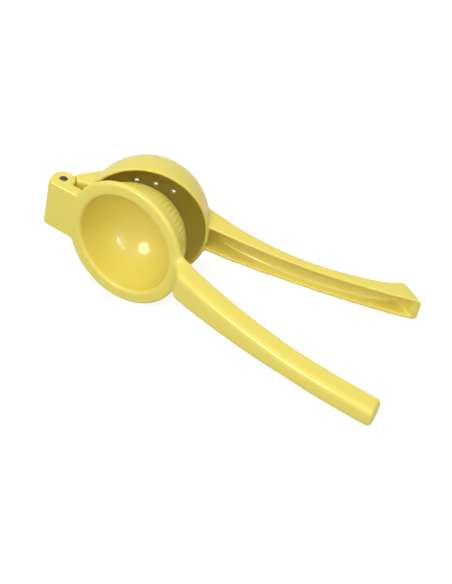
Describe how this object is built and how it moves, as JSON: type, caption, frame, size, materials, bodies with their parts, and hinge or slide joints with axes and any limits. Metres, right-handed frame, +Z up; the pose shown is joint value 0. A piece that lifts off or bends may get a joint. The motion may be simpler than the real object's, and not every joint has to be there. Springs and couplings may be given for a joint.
{
  "type": "hinged lemon squeezer",
  "caption": "Hinged hand press for citrus: a domed plunger arm and a perforated cup arm on one steel pin, enamelled yellow, lying open on its side.",
  "frame": {"origin": "on the table, under the middle of the tool's bounding box as it lies open on its side", "axes": "+X along the tool from the hinge towards the handles' ends; +Y from the plunger arm towards the cup arm; +Z up from the table"},
  "size_m": [0.2157, 0.124, 0.074],
  "materials": {
    "enamel": "gloss",
    "steel": "satin"
  },
  "bodies": {
    "cup": {"cup_arm": "enamel"},
    "plunger": {"plunger_arm": "enamel", "hinge_pin": "steel"}
  },
  "joints": [
    {"name": "squeeze_hinge", "type": "hinge", "parent": "cup", "child": "plunger", "pos_m": [-0.09856, 0.01502, 0.04577], "axis": [0.1894, 0, 0.9819], "range_deg": [-97, 23]}
  ]
}
